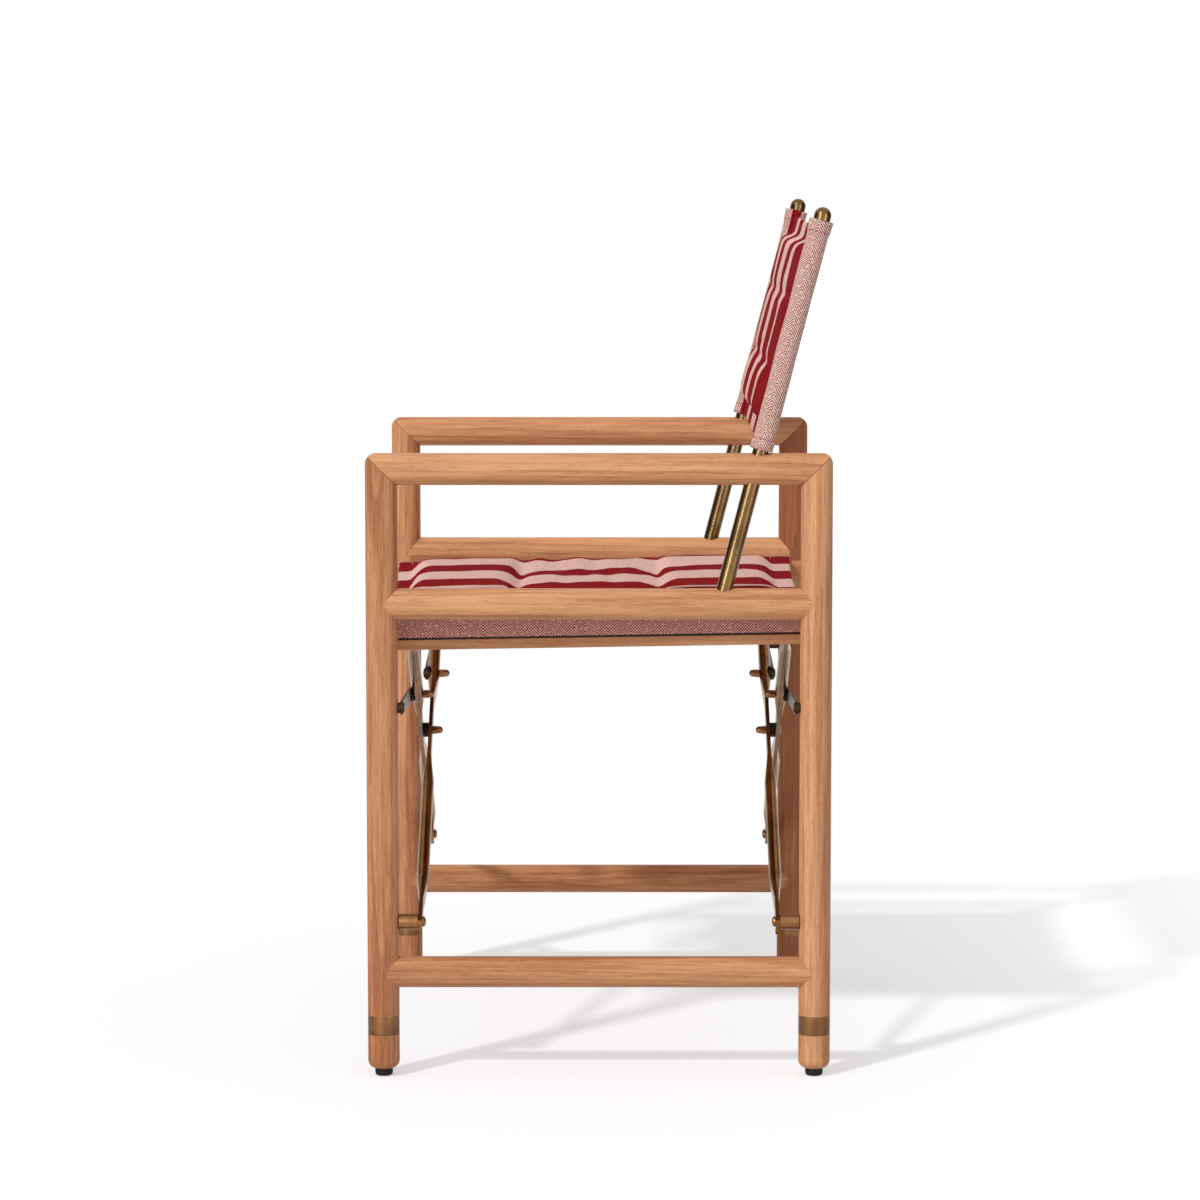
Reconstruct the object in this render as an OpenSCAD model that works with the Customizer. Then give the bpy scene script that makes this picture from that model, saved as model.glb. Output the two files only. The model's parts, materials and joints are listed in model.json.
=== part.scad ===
// Folding director's chair: two timber side frames, brass cross bars, a quilted
// sling seat and a sling back on raked posts. Sizes are in millimetres, +Z is up,
// the sitter faces -Y, and the origin is on the floor under the chair's middle.

/* [Overall] */
// Width over the outsides of the legs
overall_w = 580; // [540:1:620]
// Spacing of the front and rear leg axes
leg_spacing = 435.5; // [432:0.5:446]
// Height of the top of the armrests
arm_top = 631.5; // [625:0.5:645]
// Height of the tips of the back posts
back_top = 876; // [870:1:895]

/* [Side frames] */
// Diameter of the legs and armrests
leg_d = 32; // [31.6:0.2:33]
// Diameter of the side rails and stretchers
rail_d = 31.4; // [30:0.2:31.6]
// Height of the side rail's axis
side_rail_h = 480; // [476:1:486]
// Height of the stretcher's axis
stretcher_h = 106; // [96:1:112]
// Rounding of the frame's top corners, seen from the side
corner_r = 11.5; // [8:0.5:15]
// Diameter of the round tenons on the rails
tenon_d = 14; // [10:1:18]
// Depth of the tenon sockets, from the leg's surface
tenon_depth = 22; // [15:1:26]
// Gap left in glued timber joints
glue_gap = 0.1; // [0.05:0.05:0.3]

/* [Feet] */
// Height of the lower edge of the brass ferrules
ferrule_z = 42.8; // [30:0.2:60]
// Height of the ferrules
ferrule_h = 19.6; // [10:0.2:25]
// Wall of the ferrules
ferrule_wall = 1; // [0.6:0.1:2]
// Rounding at the leg's lower end
toe_r = 8.5; // [4:0.5:10]
// Diameter of the glides
glide_d = 18; // [15:0.5:22]
// Height of the glides below the leg
glide_h = 7.5; // [5:0.5:12]
// Diameter of the glide's stem
stem_d = 8; // [5:0.5:12]
// Length of the glide's stem
stem_l = 18; // [10:1:30]

/* [Back posts] */
// Diameter of the post tube
post_d = 16.2; // [15.4:0.2:17]
// Wall of the post tube
post_wall = 1.5; // [1:0.1:3]
// Rake of the posts from the vertical
post_rake = 14.5; // [12:0.5:16]
// From the rear leg's axis forward to where the post's axis crosses the armrest's axis
post_inset = 60.95; // [58:0.05:66]
// Depth of the post's seat in the side rail
post_seat = 18; // [12:1:22]
// Diameter of the domed cap
cap_d = 17.2; // [17:0.1:20]
// Length of the cap's straight band
cap_band = 4; // [2:0.5:8]
// Length of the plug below the cap
plug_l = 14; // [8:1:25]

/* [Cross bars] */
// Height of the foot pivots
foot_h = 157.5; // [152:0.5:162]
// Height at which the open bars cross
crossing_h = 314.7; // [310:0.5:320]
// Diameter of the bar tube
bar_d = 12.5; // [11:0.25:12.5]
// Wall of the bar tube
bar_wall = 1.5; // [1:0.1:2]
// Thickness where the tube is pressed flat
flat_t = 4; // [3.2:0.2:4]
// Width where the tube is pressed flat
flat_w = 18; // [16:0.5:18]
// From the leg's axis in to the bars that stand on the left legs
left_bar_inset = 37.7; // [37:0.1:39]
// From the leg's axis in to the bars that stand on the right legs
right_bar_inset = 27.7; // [27:0.1:28.4]
// Half the length of the flat at the crossing
cross_flat = 52; // [45:1:60]
// Length of each taper from flat to round
taper_l = 40; // [25:1:42]
// Flat beyond the foot pivot
foot_overhang = 12; // [10:0.5:13]
// From the foot pivot to the start of its taper
foot_flat = 28; // [22:1:34]
// From the leg's axis in to the bar's upper pivot, in the seat rail
rail_inset = 50.3; // [50:0.1:52]
// Width of the bar's upper end
top_w = 14; // [12.5:0.5:14.5]
// From the top pivot down to the start of its taper
top_flat = 20; // [18:1:24]
// Length of the taper at the top
top_taper = 18; // [14:1:24]

/* [Fasteners] */
// Diameter of the pivot bolts
bolt_d = 6; // [5:0.5:6.5]
// Diameter of the small bolts at the links
link_bolt_d = 5; // [4:0.5:5.5]
// Radial play of a bolt in a moving piece
play = 0.05; // [0.02:0.01:0.1]
// Gap between faces that slide past each other
side_gap = 0.2; // [0.1:0.05:0.25]
// Diameter of the bosses on the legs
boss_d = 16; // [13:0.5:18]
// How deep a boss is let into the leg
boss_seat = 1; // [0.5:0.1:2]
// Diameter of the domed bolt heads
head_d = 10.4; // [9:0.2:12]
// Height of the pivot bolt heads
head_h = 3.4; // [2:0.2:4]
// Height of the rivet heads
rivet_h = 2.2; // [1.6:0.1:2.2]
// Diameter of the black spacers
spacer_d = 15.4; // [13:0.2:17]
// Width of a cap nut across its flats
nut_w = 8; // [7:0.5:10]
// Length of a cap nut
nut_l = 11; // [9:0.5:13]

/* [Links] */
// Height of the link pivots on the legs
link_h = 375; // [371:0.5:377]
// From the crossing out to the bolt that a link meets
bolt_reach = 100.5; // [98:0.5:103]
// Width of the link strips
link_w = 14; // [11:0.5:15]
// Thickness of the link strips
link_t = 2.5; // [2:0.1:2.6]
// From the leg's axis in to the middle of the left links
left_link_inset = 19.75; // [19.6:0.05:19.9]
// From the leg's axis in to the middle of the right links
right_link_inset = 29.4; // [29:0.05:29.6]
// Diameter of the standoffs on the legs
standoff_d = 11; // [9:0.5:13]
// Thickness of the flat heads of the link screws
flat_head_h = 1.4; // [1:0.1:1.8]

/* [Seat rails] */
// How far the seat rails reach past the legs' axes at each end
rail_overhang = 8.25; // [4:0.25:12]
// Height of the seat rail's section
seat_rail_h = 39.2; // [37:0.1:42]
// Thickness of the seat rail
seat_rail_t = 20; // [18:0.5:21]
// Rounding of the seat rail's edges
seat_rail_r = 4; // [2:0.5:6]
// From the pivot out to the rail's outer face
pivot_to_face = 11.4; // [10.8:0.1:11.8]
// From the pivot down to the rail's lower face
pivot_to_base = 11.7; // [11:0.1:13]
// Slope of the rails down to the front
rail_slope = 0.9; // [0:0.1:1.2]
// Play of the bar's end in its slot, each side
slot_play = 0.35; // [0.3:0.05:0.6]
// Diameter of the rod that locks the cloth in its groove
spline_d = 2.2; // [2:0.1:2.6]
// From the rail's lower face up to the groove
groove_up = 12; // [10:0.5:13]

/* [Seat cloth] */
// Thickness of the sleeve cloth
cloth_t = 1.4; // [1:0.1:1.6]
// Gap between cloth and what carries it
cloth_gap = 0.3; // [0.2:0.05:0.4]
// From the seat rails' front ends to the front edge of the seat cloth
cloth_front_inset = 2; // [1:0.5:12]
// From the seat rails' rear ends to the rear edge of the seat cloth
cloth_rear_inset = 13.5; // [1:0.5:20]
// How far the front and rear edges curve in
seat_hollow = 5; // [0:1:20]
// Thickness of the flat edges of the quilted seat and back
hem_t = 3; // [2:0.2:4]
// How far the seat sags in its middle
seat_sag = 10; // [0:1:25]
// Width of the flat border ahead of and behind the seat's padding
seat_border = 26; // [15:1:40]
// From the rails' inner faces to the seat's padding
seat_side_border = 8; // [6:1:25]
// How far the seat's padding rises
seat_crown = 19; // [10:1:30]
// How far the padding swells below the seat
seat_under = 10; // [2:0.5:14]
// Seam ahead of the seat's middle
seat_seam_front = 83; // [60:1:100]
// Seam behind the seat's middle
seat_seam_rear = 62; // [50:1:90]

/* [Back cloth] */
// Diameter of the sleeves on the back posts
sleeve_d = 22; // [20.5:0.5:24]
// Extra width of the sleeve's hems
sleeve_hem = 1; // [0.4:0.2:2]
// Length of the sleeve's hems
sleeve_hem_l = 11; // [6:1:16]
// Height of the lower ends of the sleeves, above the armrest
sleeve_lift = 0.4; // [0.2:0.1:6]
// Gap between the sleeves and the posts' caps
sleeve_to_cap = 0.8; // [0.4:0.1:12]
// Flat hem above the padding of the back
back_hem_top = 25; // [15:1:40]
// Flat hem below the padding of the back
back_hem_low = 24; // [15:1:40]
// How far the back's padding swells to the front
back_crown = 14; // [8:0.5:22]
// How far the back's padding swells to the rear
back_under = 16.5; // [6:0.5:20]
// Height of the lower seam above the padding's lower edge
back_seam_low = 56; // [40:1:70]
// Height of the upper seam above the padding's lower edge
back_seam_high = 127; // [100:1:140]

/* [Hidden] */

ROUND = 96;
SMALL = 48;
timber = [0.80, 0.57, 0.41];
dull_brass = [0.52, 0.41, 0.28];
post_brass = [0.50, 0.42, 0.29];
bright_brass = [0.60, 0.46, 0.25];
black = [0.08, 0.08, 0.08];
pink = [0.86, 0.68, 0.64];
red = [0.60, 0.12, 0.16];

leg_r = leg_d / 2;
rail_r = rail_d / 2;
side_x = overall_w / 2 - leg_r;
leg_y = leg_spacing / 2;
arm_h = arm_top - leg_r;
post_y = leg_y - post_inset;
seat_rail_l = leg_spacing + 2 * rail_overhang;
seat_front = seat_rail_l / 2 - cloth_front_inset;
seat_rear = seat_rail_l / 2 - cloth_rear_inset;
left_plane = leg_y - left_bar_inset;
right_plane = leg_y - right_bar_inset;

// Scissor geometry: both bars run from a foot pivot through the crossing
half_bar = sqrt(pow(side_x, 2) + pow(crossing_h - foot_h, 2));
open_angle = asin((crossing_h - foot_h) / half_bar);
bar_reach = (2 * side_x - rail_inset) / cos(open_angle);
bolt_r = half_bar + bolt_reach;
short_r = 2 * half_bar - bolt_r;
bolt_x = side_x - short_r * cos(open_angle);
bolt_h = foot_h + bolt_r * sin(open_angle);
link_l = sqrt(pow(side_x - bolt_x, 2) + pow(link_h - bolt_h, 2));
link_angle = atan2(bolt_h - link_h, side_x - bolt_x);
pivot_x = bar_reach * cos(open_angle) - side_x;
pivot_h = foot_h + bar_reach * sin(open_angle);

// Back posts, in the tilted frame whose +Z runs up the post
post_len = (back_top - arm_h - cap_d / 2) / cos(post_rake) + cap_d / 2;
post_foot = -(arm_h - side_rail_h - rail_r) / cos(post_rake) - post_seat;
sleeve_base = (leg_r + sleeve_lift) / cos(post_rake) + (sleeve_d / 2 + sleeve_hem) * tan(post_rake);
sleeve_l = post_len - cap_d / 2 - cap_band - sleeve_to_cap - sleeve_base;

module along_x() rotate([0, 90, 0]) children();
module along_y() rotate([-90, 0, 0]) children();
module on_left() translate([side_x, 0, 0]) children();
module on_right() mirror([1, 0, 0]) on_left() children();
module front_and_rear() {
    children();
    mirror([0, 1, 0]) children();
}
// Stands on the post's axis where it crosses the armrest's axis
module up_the_post() translate([0, post_y, arm_h]) rotate([-post_rake, 0, 0]) children();
// Draws a shape of the Y-Z plane and makes it as thick as is asked, across X
module side_plate(t) rotate([90, 0, 90]) linear_extrude(height = t, center = true) children();
// Draws a shape of the X-Z plane and makes it as thick as is asked, across Y
module front_plate(t) rotate([90, 0, 0]) linear_extrude(height = t, center = true) children();

function arc(cx, cy, r, from, to, steps) =
    [for (i = [0:steps]) let (a = from + (to - from) * i / steps) [cx + r * cos(a), cy + r * sin(a)]];

module rounded_rect(w, h, r) {
    square([w - 2 * r, h], center = true);
    square([w, h - 2 * r], center = true);
    for (x = [-1, 1], y = [-1, 1])
        translate([x * (w / 2 - r), y * (h / 2 - r)]) circle(r = r, $fn = SMALL);
}

// Side frames, drawn about the plane x = 0

module leg_turning() {
    ferrule_top = ferrule_z + ferrule_h;
    neck = leg_r - ferrule_wall;
    rotate_extrude($fn = ROUND)
        polygon(concat(
            [[0, glide_h]],
            arc(leg_r - toe_r, glide_h + toe_r, toe_r, -90, 0, 8),
            [
                [leg_r, ferrule_z], [neck, ferrule_z], [neck, ferrule_top], [leg_r, ferrule_top],
                [leg_r, arm_top], [0, arm_top]
            ]
        ));
}

// Outline of the front leg's silhouette up to its mitre with the armrest
module leg_outline() {
    polygon(concat(
        [[-leg_y + leg_r, 0], [-leg_y - leg_r, 0]],
        arc(-leg_y - leg_r + corner_r, arm_top - corner_r, corner_r, 180, 135, 6),
        [[-leg_y + leg_r, arm_top - leg_d]]
    ));
}

module arm_outline() {
    end = arc(-leg_y - leg_r + corner_r, arm_top - corner_r, corner_r, 90, 135, 6);
    low = [[-leg_y + leg_r, arm_top - leg_d]];
    front_end = concat(end, low);
    polygon(concat(front_end, [for (i = [len(front_end) - 1:-1:0]) [-front_end[i].x, front_end[i].y]]));
}

module leg() {
    color(timber) difference() {
        intersection() {
            translate([0, -leg_y, 0]) leg_turning();
            side_plate(overall_w) leg_outline();
        }
        translate([0, -leg_y, 0]) {
            translate([0, 0, glide_h - 1])
                cylinder(d = stem_d + 2 * glue_gap, h = stem_l + 2, $fn = SMALL);
            for (h = [side_rail_h, stretcher_h])
                translate([0, leg_r - tenon_depth, h]) along_y()
                    cylinder(d = tenon_d + 2 * glue_gap, h = leg_d, $fn = SMALL);
            translate([0, -bolt_d, foot_h]) along_y()
                cylinder(d = bolt_d + glue_gap, h = leg_d, $fn = SMALL);
            translate([0, leg_r - boss_seat, foot_h]) along_y()
                cylinder(d = boss_d + 2 * glue_gap, h = leg_r, $fn = ROUND);
            translate([0, -link_bolt_d, link_h]) along_y()
                cylinder(d = link_bolt_d + glue_gap, h = leg_d, $fn = SMALL);
        }
    }
}

module armrest() {
    color(timber) difference() {
        intersection() {
            translate([0, -leg_y - leg_r, arm_h]) along_y()
                cylinder(d = leg_d, h = leg_spacing + leg_d, $fn = ROUND);
            side_plate(overall_w) arm_outline();
        }
        up_the_post() cylinder(d = post_d + 2 * glue_gap, h = 2 * leg_d, center = true, $fn = ROUND);
    }
}

// A rail whose ends are coped round the legs, with a tenon at each end
module coped_rail(h) {
    tenon_l = leg_spacing - 2 * (leg_r - tenon_depth) - 1;
    difference() {
        translate([0, 0, h]) along_y()
            cylinder(d = rail_d, h = leg_spacing, center = true, $fn = ROUND);
        for (y = [-leg_y, leg_y])
            translate([0, y, h - leg_d])
                cylinder(d = leg_d + 2 * glue_gap, h = 2 * leg_d, $fn = ROUND);
    }
    translate([0, 0, h]) along_y()
        cylinder(d = tenon_d, h = tenon_l, center = true, $fn = SMALL);
}

module side_rail() {
    color(timber) difference() {
        coped_rail(side_rail_h);
        up_the_post() translate([0, 0, post_foot - 1])
            cylinder(d = post_d + 2 * glue_gap, h = -post_foot, $fn = ROUND);
    }
}

module stretcher() color(timber) coped_rail(stretcher_h);

module ferrule() {
    color(dull_brass) translate([0, -leg_y, ferrule_z]) difference() {
        cylinder(d = leg_d, h = ferrule_h, $fn = ROUND);
        translate([0, 0, -1])
            cylinder(d = leg_d - 2 * ferrule_wall + glue_gap, h = ferrule_h + 2, $fn = ROUND);
    }
}

module glide() {
    edge = glide_h * 0.4;
    color(black) translate([0, -leg_y, 0]) rotate_extrude($fn = ROUND)
        polygon(concat(
            [[0, 0]],
            arc(glide_d / 2 - edge, edge, edge, -90, 0, 6),
            [[glide_d / 2, glide_h], [stem_d / 2, glide_h], [stem_d / 2, glide_h + stem_l]],
            [[0, glide_h + stem_l]]
        ));
}

module boss(plane) {
    chamfer = 1;
    len_y = leg_y - leg_r + boss_seat - plane - flat_t / 2 - side_gap;
    color(bright_brass) translate([0, -leg_y + leg_r - boss_seat, foot_h]) along_y()
        rotate_extrude($fn = ROUND)
            polygon([
                [bolt_d / 2 + play, 0], [boss_d / 2 - chamfer, 0], [boss_d / 2, chamfer],
                [boss_d / 2, len_y - chamfer / 2], [boss_d / 2 - chamfer / 2, len_y],
                [bolt_d / 2 + play, len_y]
            ]);
}

// A shank along -Y from its seat at y = 0, with a domed head behind the seat
module domed_bolt(d, shank, head) {
    dome = head * 0.7;
    rotate([90, 0, 0]) rotate_extrude($fn = ROUND)
        polygon(concat(
            [[0, shank], [d / 2, shank], [d / 2, 0], [head_d / 2, 0]],
            [for (i = [0:6]) [head_d / 2 * cos(i * 15), -(head - dome) - dome * sin(i * 15)]]
        ));
}

module pivot_bolt(plane) {
    seat = plane - flat_t / 2 - side_gap;
    color(bright_brass) translate([0, -seat, foot_h])
        domed_bolt(bolt_d, leg_y + bolt_d / 2 - seat, head_h);
}

module link_standoff(inset) {
    len_y = inset - link_t / 2 - side_gap / 2 - leg_r + boss_seat / 2;
    color(bright_brass) translate([0, -leg_y + leg_r - boss_seat / 2, link_h]) along_y()
        difference() {
            cylinder(d = standoff_d, h = len_y, $fn = ROUND);
            translate([0, 0, -1])
                cylinder(d = link_bolt_d + 2 * play, h = len_y + 2, $fn = SMALL);
            // Seat on the round leg
            translate([0, 0, -leg_r + boss_seat / 2]) rotate([90, 0, 0])
                cylinder(d = leg_d, h = 2 * leg_d, center = true, $fn = ROUND);
        }
}

module link_screw(inset) {
    seat = inset + link_t / 2 + side_gap / 2;
    color(bright_brass) translate([0, -leg_y, link_h]) along_y()
        rotate_extrude($fn = ROUND)
            polygon([
                [0, -link_bolt_d / 2], [link_bolt_d / 2, -link_bolt_d / 2], [link_bolt_d / 2, seat],
                [head_d / 2, seat], [head_d / 2 - flat_head_h / 2, seat + flat_head_h],
                [0, seat + flat_head_h]
            ]);
}

module back_post() {
    color(post_brass) up_the_post() difference() {
        translate([0, 0, post_foot])
            cylinder(d = post_d, h = post_len - cap_d / 2 - cap_band - post_foot, $fn = ROUND);
        translate([0, 0, post_foot - 1])
            cylinder(d = post_d - 2 * post_wall, h = post_len - post_foot, $fn = ROUND);
    }
}

module post_cap() {
    plug_r = post_d / 2 - post_wall - glue_gap;
    color(post_brass) up_the_post() translate([0, 0, post_len - cap_d / 2])
        rotate_extrude($fn = ROUND)
            polygon(concat(
                [[0, -cap_band - plug_l], [plug_r, -cap_band - plug_l], [plug_r, -cap_band]],
                [[cap_d / 2, -cap_band]],
                [for (i = [0:10]) [cap_d / 2 * cos(i * 9), cap_d / 2 * sin(i * 9)]]
            ));
}

// Sleeve of woven cloth round the post, a little wider at its hems
module back_sleeve() {
    color(pink) up_the_post() translate([0, 0, sleeve_base]) difference() {
        union() {
            cylinder(d = sleeve_d, h = sleeve_l, $fn = ROUND);
            for (z = [0, sleeve_l - sleeve_hem_l])
                translate([0, 0, z]) cylinder(d = sleeve_d + 2 * sleeve_hem, h = sleeve_hem_l, $fn = ROUND);
        }
        translate([0, 0, -1]) cylinder(d = post_d + 2 * cloth_gap, h = sleeve_l + 2, $fn = ROUND);
    }
}

// Cross bars, drawn along +X from the foot pivot, with their flats square to Y

module bar_taper(flat_at, round_at, w) {
    hull() {
        translate([flat_at, 0, 0]) cube([0.1, flat_t, w], center = true);
        translate([round_at, 0, 0]) along_x() cylinder(d = bar_d, h = 0.1, center = true, $fn = 32);
    }
}

module bar_tube(from, to) {
    translate([from, 0, 0]) along_x() cylinder(d = bar_d, h = to - from, $fn = ROUND);
}

module bar_hole(at, d) {
    translate([at, 0, 0]) along_y() cylinder(d = d, h = 2 * bar_d, center = true, $fn = SMALL);
}

module cross_bar() {
    round_1 = foot_flat + taper_l;
    round_2 = half_bar - cross_flat - taper_l;
    round_3 = half_bar + cross_flat + taper_l;
    round_4 = bar_reach - top_flat - top_taper;
    end_r = 4;
    difference() {
        union() {
            front_plate(flat_t) {
                translate([(foot_flat - foot_overhang) / 2, 0])
                    rounded_rect(foot_flat + foot_overhang, flat_w, end_r);
                translate([foot_flat - flat_w / 2, -flat_w / 2]) square([flat_w / 2, flat_w]);
                translate([half_bar - cross_flat, -flat_w / 2]) square([2 * cross_flat, flat_w]);
                translate([bar_reach, 0]) circle(d = top_w, $fn = SMALL);
                translate([bar_reach - top_flat, -top_w / 2]) square([top_flat, top_w]);
            }
            bar_taper(foot_flat, round_1, flat_w);
            bar_taper(half_bar - cross_flat, round_2, flat_w);
            bar_taper(half_bar + cross_flat, round_3, flat_w);
            bar_taper(bar_reach - top_flat, round_4, top_w);
            bar_tube(round_1, round_2);
            bar_tube(round_3, round_4);
        }
        // The straight stretches stay hollow tubes
        for (stretch = [[round_1, round_2], [round_3, round_4]])
            translate([stretch[0], 0, 0]) along_x()
                cylinder(d = bar_d - 2 * bar_wall, h = stretch[1] - stretch[0], $fn = SMALL);
        bar_hole(0, bolt_d + 2 * play);
        bar_hole(half_bar, bolt_d + 2 * play);
        bar_hole(bolt_r, link_bolt_d + 2 * play);
        bar_hole(bar_reach, bolt_d + 2 * play);
    }
}

module right_foot_bar() {
    color(bright_brass) translate([-side_x, -right_plane, foot_h]) rotate([0, -open_angle, 0])
        cross_bar();
}

module left_foot_bar() {
    color(bright_brass) mirror([1, 0, 0]) translate([-side_x, -left_plane, foot_h])
        rotate([0, -open_angle, 0]) cross_bar();
}

module cap_nut() {
    hex_l = nut_l * 0.45;
    dome_r = nut_w / 2 * 0.95;
    color(bright_brass) {
        along_y() cylinder(d = nut_w / cos(30), h = hex_l, $fn = 6);
        along_y() rotate_extrude($fn = SMALL)
            polygon(concat(
                [[0, hex_l / 2], [dome_r, hex_l / 2]],
                [for (i = [0:6]) [dome_r * cos(i * 15), nut_l - dome_r + dome_r * sin(i * 15)]]
            ));
    }
}

// A nut is drawn with the bore that its bolt fills
module bored_cap_nut(d) {
    difference() {
        cap_nut();
        along_y() translate([0, 0, -1]) cylinder(d = d + glue_gap, h = nut_l - nut_w / 4, $fn = SMALL);
    }
}

module crossing_bolt() {
    head_seat = right_plane + flat_t / 2 + side_gap;
    shank = head_seat - left_plane + flat_t / 2 + nut_l - nut_w / 2 - 1;
    color(bright_brass) translate([0, -head_seat, crossing_h]) mirror([0, 1, 0])
        domed_bolt(bolt_d, shank, rivet_h);
}

module crossing_spacer() {
    len_y = right_plane - left_plane - flat_t - side_gap;
    color(black) translate([0, -left_plane - flat_t / 2 - len_y, crossing_h]) along_y()
        difference() {
            cylinder(d = spacer_d, h = len_y, $fn = ROUND);
            translate([0, 0, -1]) cylinder(d = bolt_d + 2 * play, h = len_y + 2, $fn = SMALL);
        }
}

module crossing_nut() {
    translate([0, -left_plane + flat_t / 2, crossing_h]) bored_cap_nut(bolt_d);
}

// Fasteners at the bolt through a bar's tube, drawn at x = 0 on the bar's axis,
// with face the distance from that axis out to the link's inner face
module bar_bolt(face) {
    shank_end = bar_d / 2 + nut_l - nut_w / 2 - 1;
    color(bright_brass) translate([0, -face + side_gap, 0]) along_y()
        cylinder(d = link_bolt_d, h = face - side_gap + shank_end, $fn = SMALL);
}

module bar_spacer(face) {
    depth = 2.8;
    color(black) difference() {
        translate([0, -face + side_gap, 0]) along_y() cylinder(d = spacer_d, h = depth, $fn = ROUND);
        rotate([0, -open_angle, 0]) along_x()
            cylinder(d = bar_d + glue_gap, h = 2 * spacer_d, center = true, $fn = ROUND);
        along_y() cylinder(d = link_bolt_d + 2 * play, h = 4 * bar_d, center = true, $fn = SMALL);
    }
}

module bar_nut() {
    difference() {
        translate([0, bar_d / 2, 0]) bored_cap_nut(link_bolt_d);
        rotate([0, -open_angle, 0]) along_x()
            cylinder(d = bar_d + glue_gap, h = 2 * bar_d, center = true, $fn = ROUND);
    }
}

module at_right_bar_bolt() translate([bolt_x, -right_plane, bolt_h]) children();
module at_left_bar_bolt() mirror([1, 0, 0]) translate([bolt_x, -left_plane, bolt_h]) children();

right_bolt_face = right_bar_inset - left_link_inset - link_t / 2;
left_bolt_face = left_bar_inset - right_link_inset - link_t / 2;

// Links, drawn in the X-Z plane with the leg pivot at the origin, running to -X

module link_strip() {
    front_plate(link_t) difference() {
        rotate([0, 0, -link_angle]) {
            circle(d = link_w, $fn = SMALL);
            translate([-link_l, -link_w / 2]) square([link_l, link_w]);
            translate([-link_l, 0]) circle(d = link_w, $fn = SMALL);
        }
        circle(d = link_bolt_d + 2 * play, $fn = SMALL);
        rotate([0, 0, -link_angle]) translate([-link_l, 0])
            circle(d = link_bolt_d + glue_gap, $fn = SMALL);
    }
}

module link(inset) {
    color(bright_brass) translate([side_x, -leg_y + inset, link_h]) link_strip();
}

module link_rivet(inset) {
    color(bright_brass) translate([bolt_x, -leg_y + inset - link_t / 2, bolt_h]) mirror([0, 1, 0])
        domed_bolt(link_bolt_d, link_t, rivet_h);
}

// Seat rails, drawn about their pivot axis

module at_left_seat_rail() translate([pivot_x, 0, pivot_h]) children();
module at_right_seat_rail() mirror([1, 0, 0]) at_left_seat_rail() children();
module sloped() rotate([rail_slope, 0, 0]) children();
// Draws a shape of the rail's section and makes it as long as is asked, along Y
module section(l) rotate([90, 0, 0]) linear_extrude(height = l, center = true) children();

rail_mid_x = pivot_to_face - seat_rail_t / 2;
rail_mid_z = seat_rail_h / 2 - pivot_to_base;
pin_l = seat_rail_l / 2 - left_plane + 12;
groove_d = spline_d + 1.8;
groove_in = 0.27 * groove_d;

module seat_rail(plane) {
    end_r = top_w / 2 + slot_play;
    slot_w = flat_t + 2 * slot_play;
    color(timber) difference() {
        sloped() difference() {
            section(seat_rail_l) translate([rail_mid_x, rail_mid_z])
                rounded_rect(seat_rail_t, seat_rail_h, seat_rail_r);
            translate([pivot_to_face - groove_in, 0, groove_up - pivot_to_base]) along_y()
                cylinder(d = groove_d, h = seat_rail_l + 2, center = true, $fn = SMALL);
        }
        front_and_rear() {
            translate([0, -plane, 0]) {
                front_plate(slot_w) {
                    circle(r = end_r, $fn = SMALL);
                    translate([-seat_rail_t, -seat_rail_h]) square([seat_rail_t + end_r, seat_rail_h]);
                    translate([-seat_rail_t, -end_r]) square([seat_rail_t, 2 * end_r]);
                }
            }
            translate([0, -seat_rail_l / 2 - 4, 0]) along_y()
                cylinder(d = bolt_d + glue_gap / 2, h = pin_l + 4, $fn = SMALL);
        }
    }
}

module rail_pin() {
    color(bright_brass) translate([0, -seat_rail_l / 2 + 1, 0]) along_y()
        cylinder(d = bolt_d, h = pin_l - 1, $fn = SMALL);
}

module seat_spline() {
    cloth_l = seat_front + seat_rear;
    color(black) sloped()
        translate([pivot_to_face - groove_in, (seat_rear - seat_front) / 2, groove_up - pivot_to_base])
            along_y() cylinder(d = spline_d, h = cloth_l, center = true, $fn = SMALL);
}

// The cloth's section: up the rail's outer face from the groove and over its top edge
module seat_sleeve() {
    g = cloth_gap;
    face_x = pivot_to_face + g;
    top_z = seat_rail_h - pivot_to_base + g;
    cut_z = groove_up - pivot_to_base + 1;
    r_in = seat_rail_r;
    r_out = seat_rail_r + cloth_t;
    inner_x = pivot_to_face - seat_rail_t + r_in;
    color(pink) sloped() translate([0, (seat_rear - seat_front) / 2, 0])
        section(seat_front + seat_rear)
            polygon(concat(
                [[face_x, cut_z], [face_x + cloth_t, cut_z]],
                arc(face_x + cloth_t - r_out, top_z + cloth_t - r_out, r_out, 0, 90, 6),
                [[inner_x, top_z + cloth_t], [inner_x, top_z]],
                arc(face_x - r_in, top_z - r_in, r_in, 90, 0, 6)
            ));
}

// Quilted panels: a closed sheet on a grid, flat at its hems and swollen between its seams

// Grid places from 0 to the last seam, with the same number of steps in each stretch
function stretch_places(marks, steps) = concat(
    [for (k = [0:len(marks) - 2], i = [0:steps - 1]) marks[k] + (marks[k + 1] - marks[k]) * i / steps],
    [marks[len(marks) - 1]]
);
// Swelling between two marks: 0 on each of them, full and round in the middle
function swell(x, a, b) = x <= a || x >= b ? 0 : pow(1 - pow(abs(2 * (x - a) / (b - a) - 1), 3), 0.6);
// Swelling along a row of channels that share their seams
function channel(x, marks) = max([for (k = [0:len(marks) - 2]) swell(x, marks[k], marks[k + 1])]);
// A broad crown that keeps a little height over the seams
function quilt(x, marks, seam) = let (
    whole = swell(x, marks[0], marks[len(marks) - 1])
) whole == 0 ? 0 : whole * (seam + (1 - seam) * channel(x, marks));

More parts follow.
